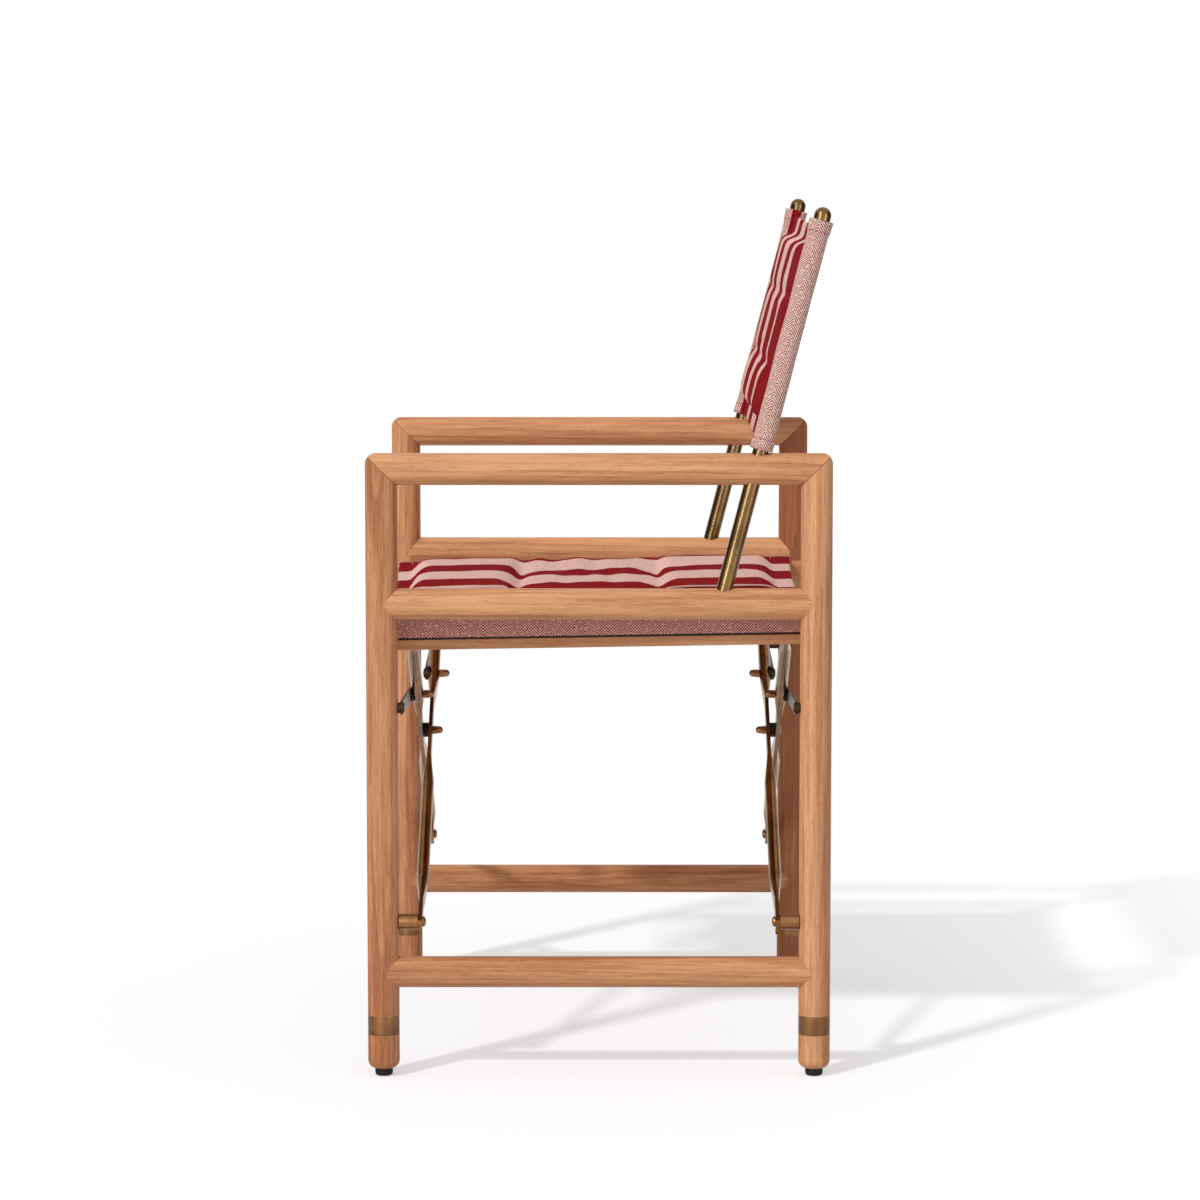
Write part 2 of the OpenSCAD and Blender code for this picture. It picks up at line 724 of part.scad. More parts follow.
module closed_sheet(top, bottom) {
    last_i = len(top) - 1;
    last_j = len(top[0]) - 1;
    count = len(top) * len(top[0]);
    function id(i, j) = i * len(top[0]) + j;
    // Right round the edge, against the direction of the upper face's triangles
    rim = concat(
        [for (i = [0:last_i - 1]) id(i, 0)],
        [for (j = [0:last_j - 1]) id(last_i, j)],
        [for (i = [last_i:-1:1]) id(i, last_j)],
        [for (j = [last_j:-1:1]) id(0, j)]
    );
    squares = [for (i = [0:last_i - 1], j = [0:last_j - 1])
        [id(i, j), id(i, j + 1), id(i + 1, j + 1), id(i + 1, j)]];
    polyhedron(
        points = concat([for (row = top) each row], [for (row = bottom) each row]),
        faces = concat(
            [for (q = squares) each [[q[0], q[1], q[2]], [q[0], q[2], q[3]]]],
            [for (q = squares) each [
                [count + q[0], count + q[2], count + q[1]],
                [count + q[0], count + q[3], count + q[2]]
            ]],
            [for (k = [0:len(rim) - 1]) let (a = rim[k], b = rim[(k + 1) % len(rim)]) each [
                [a, b, count + b], [a, count + b, count + a]
            ]]
        )
    );
}

seat_half = pivot_x + pivot_to_face - seat_rail_r;
seat_open = pivot_x + pivot_to_face - seat_rail_t;
seat_base = pivot_h + seat_rail_h - pivot_to_base + 2 * cloth_gap + cloth_t;

module seat_panel() {
    pad_half = seat_open - seat_side_border;
    marks = [-seat_front + seat_border, -seat_seam_front, seat_seam_rear, seat_rear - seat_border];
    half = [0, 0.85 * pad_half, seat_open, seat_half];
    across = stretch_places([-half[3], -half[2], -half[1], 0, half[1], half[2], half[3]], 3);
    along = stretch_places([-seat_front, marks[0], marks[1], marks[2], marks[3], seat_rear], 5);
    // The front and rear edges curve in towards the middle of the chair
    function bowed(u, v) = v * (1 - seat_hollow / seat_front * (1 - pow(u / seat_half, 2)));
    function sag(u) = abs(u) >= seat_open ? 0 : seat_sag * (1 - pow(abs(u) / seat_open, 2.4));
    function rise(u, v) = quilt(v, marks, 0.35) * pow(swell(u, -pad_half, pad_half), 0.6);
    function face(side, fill) = [for (u = across) [for (v = along)
        [u, bowed(u, v), side + fill * rise(u, v) - sag(u) + v * tan(rail_slope)]]];
    color(red) translate([0, 0, seat_base])
        closed_sheet(face(hem_t, seat_crown), face(0, -seat_under));
}

back_half = side_x - sleeve_d / 2 - sleeve_hem - cloth_gap;

module back_panel() {
    pad_half = back_half - 3;
    pad_top = sleeve_l - back_hem_top;
    marks = [back_hem_low, back_hem_low + back_seam_low, back_hem_low + back_seam_high, pad_top];
    half = [0, 0.8 * pad_half, pad_half, back_half];
    across = stretch_places([-half[3], -half[2], -half[1], 0, half[1], half[2], half[3]], 3);
    up = stretch_places([0, marks[0], marks[1], marks[2], marks[3], sleeve_l], 5);
    function rise(u, v) = quilt(v, marks, 0.7)
        * pow(swell(u, -pad_half, pad_half), 0.5) * (1 - 0.1 * pow(u / pad_half, 2));
    function face(side, fill) = [for (u = across) [for (v = up)
        [u, side * hem_t / 2 + fill * rise(u, v), v]]];
    color(red) up_the_post() translate([0, 0, sleeve_base])
        closed_sheet(face(1, back_under), face(-1, -back_crown));
}

// Sub-parts

module left_front_leg() on_left() leg();
module left_rear_leg() on_left() mirror([0, 1, 0]) leg();
module left_armrest() on_left() armrest();
module left_side_rail() on_left() side_rail();
module left_stretcher() on_left() stretcher();
module left_ferrules() on_left() front_and_rear() ferrule();
module left_glides() on_left() front_and_rear() glide();
module left_pivot_bosses() on_left() front_and_rear() boss(left_plane);
module left_pivot_bolts() on_left() front_and_rear() pivot_bolt(left_plane);
module left_link_standoffs() on_left() front_and_rear() link_standoff(left_link_inset);
module left_link_screws() on_left() front_and_rear() link_screw(left_link_inset);
module left_back_post() on_left() back_post();
module left_post_cap() on_left() post_cap();
module left_back_sleeve() on_left() back_sleeve();

module right_front_leg() on_right() leg();
module right_rear_leg() on_right() mirror([0, 1, 0]) leg();
module right_armrest() on_right() armrest();
module right_side_rail() on_right() side_rail();
module right_stretcher() on_right() stretcher();
module right_ferrules() on_right() front_and_rear() ferrule();
module right_glides() on_right() front_and_rear() glide();
module right_pivot_bosses() on_right() front_and_rear() boss(right_plane);
module right_pivot_bolts() on_right() front_and_rear() pivot_bolt(right_plane);
module right_link_standoffs() on_right() front_and_rear() link_standoff(right_link_inset);
module right_link_screws() on_right() front_and_rear() link_screw(right_link_inset);
module right_back_post() on_right() back_post();
module right_post_cap() on_right() post_cap();
module right_back_sleeve() on_right() back_sleeve();

module front_bar_left_foot() left_foot_bar();
module rear_bar_left_foot() mirror([0, 1, 0]) left_foot_bar();
module crossing_bolts() front_and_rear() crossing_bolt();
module crossing_spacers() front_and_rear() crossing_spacer();
module crossing_nuts() front_and_rear() crossing_nut();
module left_bar_bolts() front_and_rear() at_left_bar_bolt() bar_bolt(left_bolt_face);
module left_bar_spacers() front_and_rear() at_left_bar_bolt() bar_spacer(left_bolt_face);
module left_bar_nuts() front_and_rear() at_left_bar_bolt() bar_nut();

module front_bar_right_foot() right_foot_bar();
module rear_bar_right_foot() mirror([0, 1, 0]) right_foot_bar();
module right_bar_bolts() front_and_rear() at_right_bar_bolt() bar_bolt(right_bolt_face);
module right_bar_spacers() front_and_rear() at_right_bar_bolt() bar_spacer(right_bolt_face);
module right_bar_nuts() front_and_rear() at_right_bar_bolt() bar_nut();

module left_links() front_and_rear() link(left_link_inset);
module left_link_rivets() front_and_rear() link_rivet(left_link_inset);
module right_links() mirror([1, 0, 0]) front_and_rear() link(right_link_inset);
module right_link_rivets() mirror([1, 0, 0]) front_and_rear() link_rivet(right_link_inset);

module left_seat_rail() at_left_seat_rail() seat_rail(right_plane);
module left_rail_pins() at_left_seat_rail() front_and_rear() rail_pin();
module left_seat_spline() at_left_seat_rail() seat_spline();
module left_seat_sleeve() at_left_seat_rail() seat_sleeve();
module right_seat_rail() at_right_seat_rail() seat_rail(left_plane);
module right_rail_pins() at_right_seat_rail() front_and_rear() rail_pin();
module right_seat_spline() at_right_seat_rail() seat_spline();
module right_seat_sleeve() at_right_seat_rail() seat_sleeve();

left_front_leg();
left_rear_leg();
left_armrest();
left_side_rail();
left_stretcher();
left_ferrules();
left_glides();
left_pivot_bosses();
left_pivot_bolts();
left_link_standoffs();
left_link_screws();
left_back_post();
left_post_cap();
left_back_sleeve();
right_front_leg();
right_rear_leg();
right_armrest();
right_side_rail();
right_stretcher();
right_ferrules();
right_glides();
right_pivot_bosses();
right_pivot_bolts();
right_link_standoffs();
right_link_screws();
right_back_post();
right_post_cap();
right_back_sleeve();
front_bar_left_foot();
rear_bar_left_foot();
crossing_bolts();
crossing_spacers();
crossing_nuts();
left_bar_bolts();
left_bar_spacers();
left_bar_nuts();
front_bar_right_foot();
rear_bar_right_foot();
right_bar_bolts();
right_bar_spacers();
right_bar_nuts();
left_links();
left_link_rivets();
right_links();
right_link_rivets();
left_seat_rail();
left_rail_pins();
left_seat_spline();
left_seat_sleeve();
right_seat_rail();
right_rail_pins();
right_seat_spline();
right_seat_sleeve();
seat_panel();
back_panel();
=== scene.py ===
"""Dresses the folding director's chair: timber, brass and quilted striped cloth over the fixed frame."""

import json
import math

import bpy
import numpy as np
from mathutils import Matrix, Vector, noise


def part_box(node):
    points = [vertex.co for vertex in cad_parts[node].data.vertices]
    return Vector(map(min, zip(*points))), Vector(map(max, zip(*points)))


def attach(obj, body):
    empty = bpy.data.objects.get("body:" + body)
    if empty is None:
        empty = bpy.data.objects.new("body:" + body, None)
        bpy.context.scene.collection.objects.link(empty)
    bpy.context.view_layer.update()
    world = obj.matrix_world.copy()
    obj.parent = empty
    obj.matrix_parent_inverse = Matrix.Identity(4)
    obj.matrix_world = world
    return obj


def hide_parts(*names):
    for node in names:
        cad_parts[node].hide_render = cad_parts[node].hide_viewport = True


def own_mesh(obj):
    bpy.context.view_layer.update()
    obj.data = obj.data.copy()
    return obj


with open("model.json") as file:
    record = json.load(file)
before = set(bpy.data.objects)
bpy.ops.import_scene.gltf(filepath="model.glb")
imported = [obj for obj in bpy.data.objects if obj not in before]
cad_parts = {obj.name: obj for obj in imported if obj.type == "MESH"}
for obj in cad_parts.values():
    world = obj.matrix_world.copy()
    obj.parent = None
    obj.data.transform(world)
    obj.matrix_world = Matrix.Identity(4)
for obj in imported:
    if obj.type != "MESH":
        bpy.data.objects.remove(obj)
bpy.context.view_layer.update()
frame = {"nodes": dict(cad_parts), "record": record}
scene = bpy.context.scene
nodes = frame["nodes"]
hinge_at = {joint["name"]: joint["pos_m"] for joint in frame["record"]["behaviour"]["joints"]}

# All sizes are in metres. The cloth of the solids, its gap to what carries it, and the wall drawn here
CLOTH_T = 0.0014
CLOTH_GAP = 0.0003
SHEET_T = 0.0011

# The side frames: the legs' axes, the armrests' axis, and where the raked post's axis crosses it
SIDE_X = hinge_at["fold"][0]
LEG_Y = max(mount["pos_m"][1] for mount in frame["record"]["mounts"])
LEG_R = 0.016
ARM_H = 0.6155
POST_Y = LEG_Y - 0.06095
RAKE = math.radians(14.5)

# The sleeves on the posts. They begin just above the armrest, where their hem's edge clears it
SLEEVE_L = 0.23535
SLEEVE_R = 0.0108
SLEEVE_REACH = 0.012
SLEEVE_LIFT = 0.0004
SLEEVE_BASE = (LEG_R + SLEEVE_LIFT) / math.cos(RAKE) + SLEEVE_REACH * math.tan(RAKE)
SLEEVE_GIRTH = 2 * math.pi * SLEEVE_R

# The back between the sleeves, with the heights of its seams
BACK_HALF = SIDE_X - SLEEVE_REACH - CLOTH_GAP
BACK_MARKS = (0.024, 0.080, 0.151, 0.21035)

# The seat rails, with their outer face and their top as they lie from the bars' upper hinge
PIVOT_X, _, PIVOT_H = hinge_at["left_rail_hinge"]
SLOPE = math.radians(0.9)
RAIL_FACE = 0.0114
RAIL_TOP = 0.0275
RAIL_T = 0.020
RAIL_ROUND = 0.004
RAIL_END = LEG_Y + 0.00825

# The seat from the front to the rear edge, between the rails and over their tops, and its seams' places
SEAT_FRONT = RAIL_END - 0.002
SEAT_REAR = RAIL_END - 0.0135
SEAT_HALF = PIVOT_X + RAIL_FACE - RAIL_ROUND
SEAT_OPEN = PIVOT_X + RAIL_FACE - RAIL_T
SEAT_BASE = PIVOT_H + RAIL_TOP + CLOTH_T + 2 * CLOTH_GAP
SEAT_MARKS = (-0.209, -0.0875, 0.0645, 0.191)

# The pads' mesh step, how far the filling may push their cloth out, and how near two equal places lie
PAD_STEP = 0.006
PUFF = 0.002
SAME = 1e-6

# Where the stripes change colour, from the middle of the chair outwards
STRIPES = (0.042, 0.110, 0.165)


def tone(r, g, b):
    """A colour as it looks on screen, 0 to 255, in the renderer's linear values."""
    return tuple(((c / 255 + 0.055) / 1.055) ** 2.4 for c in (r, g, b)) + (1.0,)


class Field:
    """A number that changes over a surface. Sums with it add Math nodes."""

    def __init__(self, maker, socket):
        self.maker, self.socket = maker, socket

    def math(self, operation, *others):
        values = dict(enumerate((self,) + others))
        return self.maker.add("ShaderNodeMath", {"operation": operation}, values)[0]

    def reflected(self, operation, other):
        return self.maker.add("ShaderNodeMath", {"operation": operation}, {0: other, 1: self})[0]

    def __add__(self, other):
        return self.math("ADD", other)

    def __radd__(self, other):
        return self.reflected("ADD", other)

    def __sub__(self, other):
        return self.math("SUBTRACT", other)

    def __rsub__(self, other):
        return self.reflected("SUBTRACT", other)

    def __mul__(self, other):
        return self.math("MULTIPLY", other)

    def __rmul__(self, other):
        return self.reflected("MULTIPLY", other)

    def __truediv__(self, other):
        return self.math("DIVIDE", other)

    def __abs__(self):
        return self.math("ABSOLUTE")

    def between(self, low, high):
        """0 up to low, 1 from high, and smooth between them."""
        settings = {"interpolation_type": "SMOOTHSTEP"}
        return self.maker.add("ShaderNodeMapRange", settings, {0: self, 1: low, 2: high})[0]


class Maker:
    """Builds the nodes of a material or of the world."""

    def __init__(self, tree):
        self.tree = tree

    def add(self, kind, settings=None, sockets=None):
        """Adds a node, with its settings first and then its sockets' values or links. Gives its outputs."""
        step = self.tree.nodes.new(kind)
        for name, value in (settings or {}).items():
            setattr(step, name, value)
        for key, value in (sockets or {}).items():
            self.join(value, step.inputs[key])
        return [Field(self, output) for output in step.outputs]

    def join(self, value, socket):
        if isinstance(value, Field):
            self.tree.links.new(value.socket, socket)
        else:
            socket.default_value = value

    def mix(self, mask, a, b):
        """Colour a where mask is 0 and b where it is 1."""
        return self.add("ShaderNodeMix", {"data_type": "RGBA"}, {0: mask, 6: a, 7: b})[2]

    def vector(self, operation, *values):
        step = self.add("ShaderNodeVectorMath", {"operation": operation}, dict(enumerate(values)))
        return step[1] if operation in ("LENGTH", "DISTANCE") else step[0]

    def scaled(self, place, scale):
        return self.vector("MULTIPLY", place, scale)

    def clouds(self, place, scale, detail=2.0, roughness=0.5, seed=0.0):
        """Soft noise, as its number and its three-part value."""
        sockets = {"Vector": place, "W": seed, "Scale": scale, "Detail": detail, "Roughness": roughness}
        return self.add("ShaderNodeTexNoise", {"noise_dimensions": "4D"}, sockets)

    def parts(self, place):
        return self.add("ShaderNodeSeparateXYZ", None, {0: place})


class Finish(Maker):
    """A material under construction. Plain values are set on the surface's own sockets."""

    def __init__(self, name, plain):
        self.material = bpy.data.materials.new(name)
        self.material.use_nodes = True
        super().__init__(self.material.node_tree)
        self.surface = next(n for n in self.tree.nodes if n.type == "BSDF_PRINCIPLED")
        for socket, value in plain.items():
            self.surface.inputs[socket].default_value = value

    def place(self):
        return self.add("ShaderNodeTexCoord")[3]

    def cloth_place(self):
        """The place on the flat cloth in metres, from the piece's own map."""
        return self.add("ShaderNodeUVMap", {"uv_map": "cloth"})[0]

    def varies(self, socket, value):
        self.join(value, self.surface.inputs[socket])

    def relief(self, height, depth):
        """Raises the surface by up to depth metres where height is 1."""
        sockets = {"Height": height, "Distance": depth, "Strength": 1.0}
        self.varies("Normal", self.add("ShaderNodeBump", None, sockets)[0])


def teak(name, node, along, heart, depth, seed):
    """Oiled teak. The grain runs along one axis, and heart is how far off the tree's middle lies."""
    wood = Finish(name, {"Specular IOR Level": 0.2})
    drawn_out, ring_width, bend = 0.05, 0.0066, 0.034
    low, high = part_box(node)
    middle = (low + high) / 2
    squeeze = Vector([drawn_out if axis == along else 1.0 for axis in "xyz"])
    shift = Vector([-m * s for m, s in zip(middle, squeeze)])
    place = wood.place()
    grain = wood.add("ShaderNodeMapping", None, {"Vector": place, "Location": shift, "Scale": squeeze})[0]
    wobble = wood.clouds(grain, 16.0, 2.0, 0.5, seed)[1]
    bent = wood.vector("MULTIPLY_ADD", wobble, (bend, bend, bend), grain)
    rings = (wood.vector("DISTANCE", bent, Vector(heart)) / ring_width).math("FRACT")
    late = rings.between(0.35, 0.97) * (1.0 - rings.between(0.97, 1.0))
    broad = wood.clouds(grain, 42.0, 2.0, 0.5, seed + 3.0)[0]
    streak = wood.clouds(grain, 260.0, 3.0, 0.6, seed + 5.0)[0]
    fine = wood.clouds(grain, 1300.0, 2.0, 0.6, seed + 7.0)[0]
    pore = wood.clouds(grain, 2400.0, 1.0, 0.5, seed + 9.0)[0].between(0.62, 0.72)
    vein = wood.clouds(grain, 95.0, 3.0, 0.65, seed + 11.0)[0].between(0.62, 0.75)
    spots = wood.add("ShaderNodeTexVoronoi", {"voronoi_dimensions": "4D"},
                     {"Vector": grain, "W": seed + 13.0, "Scale": 15.0})[0]
    knot = 1.0 - spots.between(0.03, 0.085)

    # depth adds each member's own tone and painted shade to the grain's tone, and deepens its veins.
    shade = broad.between(0.3, 0.72) * 0.5 + streak.between(0.3, 0.72) * 0.46 + late * 0.24
    shade = shade + fine.between(0.3, 0.7) * 0.2 + depth - 0.27
    dark_wood = tone(104, 62, 40)
    colour = wood.mix(shade, tone(232, 170, 122), tone(164, 99, 60))
    colour = wood.mix(vein * (0.5 + depth), colour, dark_wood)
    colour = wood.mix(pore * 0.44, colour, tone(104, 64, 42))
    colour = wood.mix(knot * 0.7, colour, dark_wood)
    if node.endswith(("leg", "armrest")):
        _, y, z = wood.parts(place)
        mitre = abs((z - ARM_H) - (abs(y) - LEG_Y))
        colour = wood.mix((1.0 - mitre.between(0.0002, 0.0009)) * 0.6, colour, tone(96, 58, 36))
    wood.varies("Base Color", colour)
    wood.varies("Roughness", 0.44 + streak * 0.14 + pore * 0.1)
    wood.relief(streak * 0.5 + fine * 0.3 - pore * 0.7 - late * 0.2, 0.00022)
    return wood.material


def brass(name, colour, dark, roughness, brushed=(1.0, 1.0, 1.0)):
    """Aged brass, with clouds of tarnish, fine brushing along one axis and small scratches."""
    metal = Finish(name, {"Metallic": 1.0})
    place = metal.place()
    tarnish = metal.clouds(place, 38.0, 4.0, 0.6)[0]
    lines = metal.clouds(metal.scaled(place, brushed), 900.0, 2.0, 0.6)[0]
    specks = metal.clouds(place, 1500.0, 1.0, 0.5)[0].between(0.68, 0.8)
    aged = tarnish.between(0.3, 0.72) * 0.7 + lines * 0.2 + specks * 0.15
    metal.varies("Base Color", metal.mix(aged, colour, dark))
    metal.varies("Roughness", roughness + tarnish * 0.08 + lines * 0.05 + specks * 0.05)
    metal.relief(lines, 0.000006)
    return metal.material


def black_plastic():
    plastic = Finish("black_plastic", {"Specular IOR Level": 0.2})
    place = plastic.place()
    grainy = plastic.clouds(place, 1800.0, 2.0)[0]
    dusty = plastic.clouds(place, 60.0, 3.0)[0].between(0.45, 0.75)
    dull = dusty * 0.5 + grainy * 0.2
    plastic.varies("Base Color", plastic.mix(dull, tone(14, 13, 13), tone(34, 32, 31)))
    plastic.varies("Roughness", 0.42 + grainy * 0.2)
    plastic.relief(grainy, 0.00005)
    return plastic.material


def weave(cloth, u, v, pitch):
    """Height of a plain weave, 0 to 1."""
    warp = (u * (2 * math.pi / pitch)).math("SINE")
    weft = (v * (2 * math.pi / pitch)).math("SINE")
    return warp * weft * 0.5 + 0.5


def stripes(cloth, place, u, v, edges):
    """Colour and height of the striped cloth. u is the distance from the chair's middle."""
    fuzz = cloth.clouds(place, 1100.0, 2.0, 0.6)[0]
    drift = cloth.clouds(place, 45.0, 1.0)[0]
    across = abs(u) + (fuzz - 0.5) * 0.006 + (drift - 0.5) * 0.002
    soft, red = 0.0004, None
    for edge in edges:
        step = across.between(edge - soft, edge + soft)
        red = step if red is None else abs(red - step)
    if len(edges) % 2 == 0:
        red = 1.0 - red
    threads = weave(cloth, u, v, 0.0013)
    slub = cloth.clouds(cloth.scaled(place, (0.2, 1.0, 1.0)), 520.0, 2.0, 0.6, 2.0)[0].between(0.3, 0.7)
    worn = cloth.clouds(place, 24.0, 3.0, 0.5, 4.0)[0]
    # Slubs and wear vary the yarn's own tone; the weave term is painted shade between the threads, lighter
    # on their crowns.
    yarn_tone_and_weave_shade = slub * 0.55 + threads * 0.25 + worn * 0.25
    pink = cloth.mix(yarn_tone_and_weave_shade, tone(240, 174, 162), tone(255, 226, 214))
    pink = cloth.mix(fuzz.between(0.6, 0.72) * 0.5, pink, tone(212, 116, 108))
    deep = cloth.mix(yarn_tone_and_weave_shade, tone(106, 2, 10), tone(180, 26, 32))
    return cloth.mix(red, pink, deep), threads * 0.7 + slub * 0.5


def herringbone(cloth, place, u, v, light, shade, dark):
    """Colour and height of the herringbone cloth, in columns whose slant turns over."""
    half_column, pitch, slant = 0.0115, 0.0030, 1.05
    column = (u + 0.002).math("PINGPONG", half_column)
    ridge = abs(((v + column * slant) / pitch).math("FRACT") - 0.5) * 2.0
    broken = cloth.clouds(place, 380.0, 2.0, 0.6)[0]
    fleck = ridge.between(0.50, 0.64) * broken.between(0.36, 0.48)
    fuzz = cloth.clouds(place, 1500.0, 2.0, 0.6, 2.0)[0]
    pink = cloth.mix(fuzz * 0.4 + ridge * 0.3, light, shade)
    return cloth.mix(fleck, pink, dark), 1.0 - ridge * 0.7 + fuzz * 0.3


def matt_cloth(name, sheen, gloss):
    """A cloth without its colours."""
    plain = {"Roughness": 0.9, "Sheen Weight": sheen, "Sheen Roughness": 0.5, "Specular IOR Level": gloss}
    return Finish(name, plain)


def striped_cloth(name):
    cloth = matt_cloth(name, 0.015, 0.02)
    place = cloth.cloth_place()
    u, v, _ = cloth.parts(place)
    colour, height = stripes(cloth, place, u, v, STRIPES)
    cloth.varies("Base Color", colour)
    cloth.relief(height, 0.0005)
    return cloth.material


def herringbone_cloth(name, tones, lining_from=None):
    """Herringbone, with the back cloth's wide red stripe beyond lining_from, from the piece's middle."""
    cloth = matt_cloth(name, 0.02, 0.03)
    place = cloth.cloth_place()
    u, v, _ = cloth.parts(place)
    colour, height = herringbone(cloth, place, u, v, *tones)
    if lining_from:
        soft, red = 0.0003, stripes(cloth, place, u, v, (0.0,))[0]
        lining = abs(u).between(lining_from - soft, lining_from + soft)
        colour = cloth.mix(lining, colour, red)
    cloth.varies("Base Color", colour)
    cloth.relief(height, 0.0006)
    return cloth.material


def thread(name, dark, light):
    yarn = Finish(name, {"Roughness": 0.7, "Sheen Weight": 0.05, "Specular IOR Level": 0.2})
    twist = yarn.clouds(yarn.place(), 2500.0, 2.0)[0]
    yarn.varies("Base Color", yarn.mix(twist, dark, light))
    yarn.relief(twist, 0.0001)
    return yarn.material


# Grain direction, where the tree's heart lies from the member's middle, and how dark the member is. That
# darkness is partly the member's own tone and partly painted shade and light, fitted to how lit each member
# is; the right rear leg's is painted shade.
TIMBER = {
    "left_front_leg": ("z", (-0.045, 0.040, 0.0), 0.32),
    "left_rear_leg": ("z", (-0.060, -0.020, 0.0), 0.0),
    "left_armrest": ("y", (-0.020, 0.0, -0.050), -0.02),
    "left_side_rail": ("y", (-0.055, 0.0, 0.020), 0.0),
    "left_stretcher": ("y", (-0.050, 0.0, -0.030), 0.26),
    "right_front_leg": ("z", (0.050, 0.030, 0.0), 0.24),
    # Painted shade: the right rear leg is darkened as if it stood in shade.
    "right_rear_leg": ("z", (-0.045, 0.030, 0.0), 0.75),
    "right_armrest": ("y", (-0.050, 0.0, -0.030), -0.08),
    "right_side_rail": ("y", (0.040, 0.0, -0.045), -0.08),
    "right_stretcher": ("y", (-0.050, 0.0, 0.030), 0.26),
    "left_seat_rail": ("y", (-0.060, 0.0, 0.020), 0.05),
    "right_seat_rail": ("y", (0.060, 0.0, 0.020), 0.05),
}


def paint(node, material):
    nodes[node].data.materials.clear()
    nodes[node].data.materials.append(material)


def dress_frame():
    """Gives every part of the frame that stays as it is its finish."""
    finishes = {
        "dull_brass": brass("dull_brass", tone(138, 98, 66), tone(96, 66, 44), 0.38, (0.1, 0.1, 3.0)),
        "post_brass": brass("post_brass", tone(124, 98, 62), tone(80, 62, 40), 0.20, (2.0, 0.15, 0.15)),
        "bar_brass": brass("bar_brass", tone(150, 104, 46), tone(82, 54, 26), 0.16),
        "bright_brass": brass("bright_brass", tone(158, 114, 74), tone(88, 62, 38), 0.24),
        "black_plastic": black_plastic(),
    }
    bronze = brass("dark_bronze", tone(78, 58, 40), tone(40, 30, 22), 0.34)
    for seed, (name, (along, heart, depth)) in enumerate(TIMBER.items()):
        paint(name, teak("teak_" + name, name, along, heart, depth, 17.0 * seed))
    for part in frame["record"]["subparts"]:
        if part["material_slot"] in finishes:
            paint(part["node"], bronze if "link" in part["node"] else finishes[part["material_slot"]])


def piece_from(name, points, faces, places, material, smooth=True):
    """A mesh piece with its cloth map. places gives each point's place on the flat cloth."""
    mesh = bpy.data.meshes.new(name)
    mesh.from_pydata([tuple(p) for p in points], [], [tuple(f) for f in faces])
    mesh.update()
    if places is not None:
        layer = mesh.uv_layers.new(name="cloth")
        corners = np.zeros(len(mesh.loops), np.int32)
        mesh.loops.foreach_get("vertex_index", corners)
        layer.data.foreach_set("uv", np.asarray(places, np.float32)[corners].ravel())
    mesh.polygons.foreach_set("use_smooth", [smooth] * len(mesh.polygons))
    mesh.materials.append(material)
    piece = bpy.data.objects.new(name, mesh)
    scene.collection.objects.link(piece)
    return piece


def settle(piece):
    """Turns a piece and its modifiers into a plain mesh."""
    bpy.context.view_layer.update()
    evaluated = piece.evaluated_get(bpy.context.evaluated_depsgraph_get())
    mesh = bpy.data.meshes.new_from_object(evaluated)
    piece.modifiers.clear()
    piece.data = mesh
    return piece


def coordinates(mesh):
    co = np.zeros(len(mesh.vertices) * 3)
    mesh.vertices.foreach_get("co", co)
    return co.reshape(-1, 3)


def spread(marks, step):
    """Places from the first mark to the last, about step apart and with one on each mark."""
    places = [marks[0]]
    for a, b in zip(marks, marks[1:]):
        count = max(1, round((b - a) / step))
        places += [a + (b - a) * k / count for k in range(1, count + 1)]
    return np.array(places)


def swell(x, a, b, blunt=3.0, power=0.6):
    """0 at a and b, full and round between them."""
    t = np.clip(np.abs(2 * (x - a) / (b - a) - 1), 0, 1)
    return (1 - t ** blunt) ** power


def along_channels(v, marks, levels, crowns):
    """Height across a row of channels: levels at the marks, and a crown over most of each channel."""
    height = np.interp(v, marks, levels)
    for a, b, crown in zip(marks, marks[1:], crowns):
        full = swell(v, a, b, 8.0, 0.5)
        height = np.where((v > a) & (v < b), height * (1 - full) + crown * full, height)
    return height


def puckers(u, v, marks, reach, depth, wave):
    """Short folds across each seam, which die away into the pad."""
    flat_seam, total = 0.004, np.zeros_like(v)
    for number, mark in enumerate(marks):
        from_seam = np.abs(v - mark)
        shift = [2.2 * noise.noise((a * 34, number * 3.7 + (b > mark), 0)) for a, b in zip(u, v)]
        wave_height = np.sin(2 * math.pi * u / wave + 3 * np.array(shift))
        total += depth * np.exp(-from_seam / reach) * wave_height * np.clip(from_seam / flat_seam, 0, 1)
    return total


def on_marks(v, marks):
    return np.min([np.abs(v - mark) for mark in marks], axis=0) < SAME


def filled(u, v, half, marks):
    """True inside a pad's outer seams, false on its hems."""
    return (np.abs(u) < half - SAME) & (v > marks[0] + SAME) & (v < marks[-1] - SAME)


